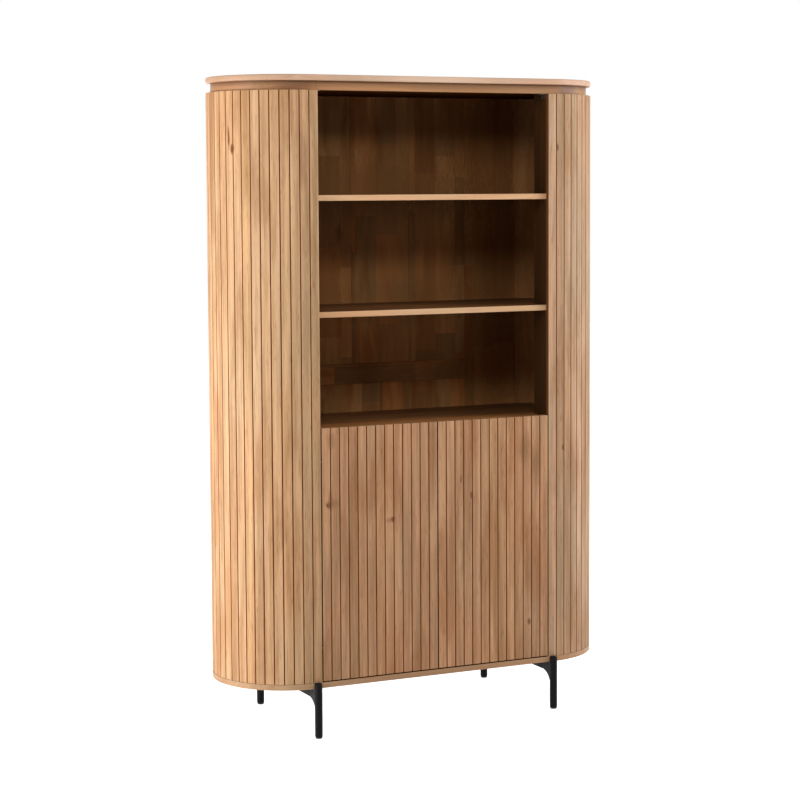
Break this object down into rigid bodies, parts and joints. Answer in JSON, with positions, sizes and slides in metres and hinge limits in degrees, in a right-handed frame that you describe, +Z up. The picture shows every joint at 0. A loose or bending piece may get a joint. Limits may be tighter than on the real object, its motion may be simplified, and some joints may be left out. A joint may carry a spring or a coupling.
{
  "type": "tall cabinet",
  "caption": "Tall wooden cabinet with rounded slatted ends, open compartments over a cupboard with slatted doors on concealed hinges, on black steel leg frames.",
  "frame": {"origin": "on the floor, under the middle of the cabinet", "axes": "+Z up, the open front faces -Y, +X to the right of someone facing the front"},
  "size_m": [1.2, 0.466, 1.862],
  "materials": {
    "slat_wood": "light brown hardwood, matt lacquer, upright grain, each slat its own tint",
    "board_wood": "brown hardwood boards, matt lacquer",
    "black_steel": "fine matt black powder coat",
    "bright_steel": "nickel plated, satin",
    "grey_plastic": "dark grey moulded plastic"
  },
  "bodies": {
    "cabinet": {"back_rail": "board_wood", "base_plate": "slat_wood", "cupboard_shelf": "board_wood", "divider": "board_wood", "front_left_glide": "grey_plastic", "front_left_leg": "black_steel", "front_left_rail_screw": "bright_steel", "front_right_glide": "grey_plastic", "front_right_leg": "black_steel", "front_right_rail_screw": "bright_steel", "left_back_board": "board_wood", "left_corner_bracket": "bright_steel", "left_door_post": "board_wood", "left_end_shell": "board_wood", "left_end_slats": "slat_wood", "left_latch_body": "grey_plastic", "left_lower_hinge_arm": "bright_steel", "left_rail": "black_steel", "left_upper_hinge_arm": "bright_steel", "lower_back_board_1": "board_wood", "lower_back_board_2": "board_wood", "lower_back_board_3": "board_wood", "lower_shelf": "board_wood", "rear_left_glide": "grey_plastic", "rear_left_leg": "black_steel", "rear_left_rail_screw": "bright_steel", "rear_right_glide": "grey_plastic", "rear_right_leg": "black_steel", "rear_right_rail_screw": "bright_steel", "right_back_board": "board_wood", "right_corner_bracket": "bright_steel", "right_door_post": "board_wood", "right_end_shell": "board_wood", "right_end_slats": "slat_wood", "right_latch_body": "grey_plastic", "right_lower_hinge_arm": "bright_steel", "right_rail": "black_steel", "right_upper_hinge_arm": "bright_steel", "top_deck": "board_wood", "top_plate": "slat_wood", "upper_back_board_1": "board_wood", "upper_back_board_2": "board_wood", "upper_back_board_3": "board_wood", "upper_shelf": "board_wood"},
    "left_door": {"left_door_board": "board_wood", "left_door_slats": "slat_wood", "left_strike_plate": "bright_steel", "left_lower_hinge_cup": "bright_steel", "left_lower_hinge_pin": "bright_steel", "left_upper_hinge_cup": "bright_steel", "left_upper_hinge_pin": "bright_steel"},
    "right_door": {"right_door_board": "board_wood", "right_door_slats": "slat_wood", "right_strike_plate": "bright_steel", "right_lower_hinge_cup": "bright_steel", "right_lower_hinge_pin": "bright_steel", "right_upper_hinge_cup": "bright_steel", "right_upper_hinge_pin": "bright_steel"},
    "left_latch_plunger": {"left_latch_plunger": "grey_plastic"},
    "right_latch_plunger": {"right_latch_plunger": "grey_plastic"}
  },
  "joints": [
    {"name": "left_door_hinge", "type": "hinge", "parent": "cabinet", "child": "left_door", "pos_m": [-0.354, -0.2105, 0.519], "axis": [0, 0, -1], "range_deg": [0, 95]},
    {"name": "right_door_hinge", "type": "hinge", "parent": "cabinet", "child": "right_door", "pos_m": [0.354, -0.2105, 0.519], "axis": [0, 0, 1], "range_deg": [0, 95]},
    {"name": "left_latch_press", "type": "slide", "parent": "cabinet", "child": "left_latch_plunger", "axis": [0, 1, 0], "range_m": [0, 0.003], "stiffness_N_per_m": 400, "springref_m": -0.004},
    {"name": "right_latch_press", "type": "slide", "parent": "cabinet", "child": "right_latch_plunger", "axis": [0, 1, 0], "range_m": [0, 0.003], "stiffness_N_per_m": 400, "springref_m": -0.004}
  ]
}
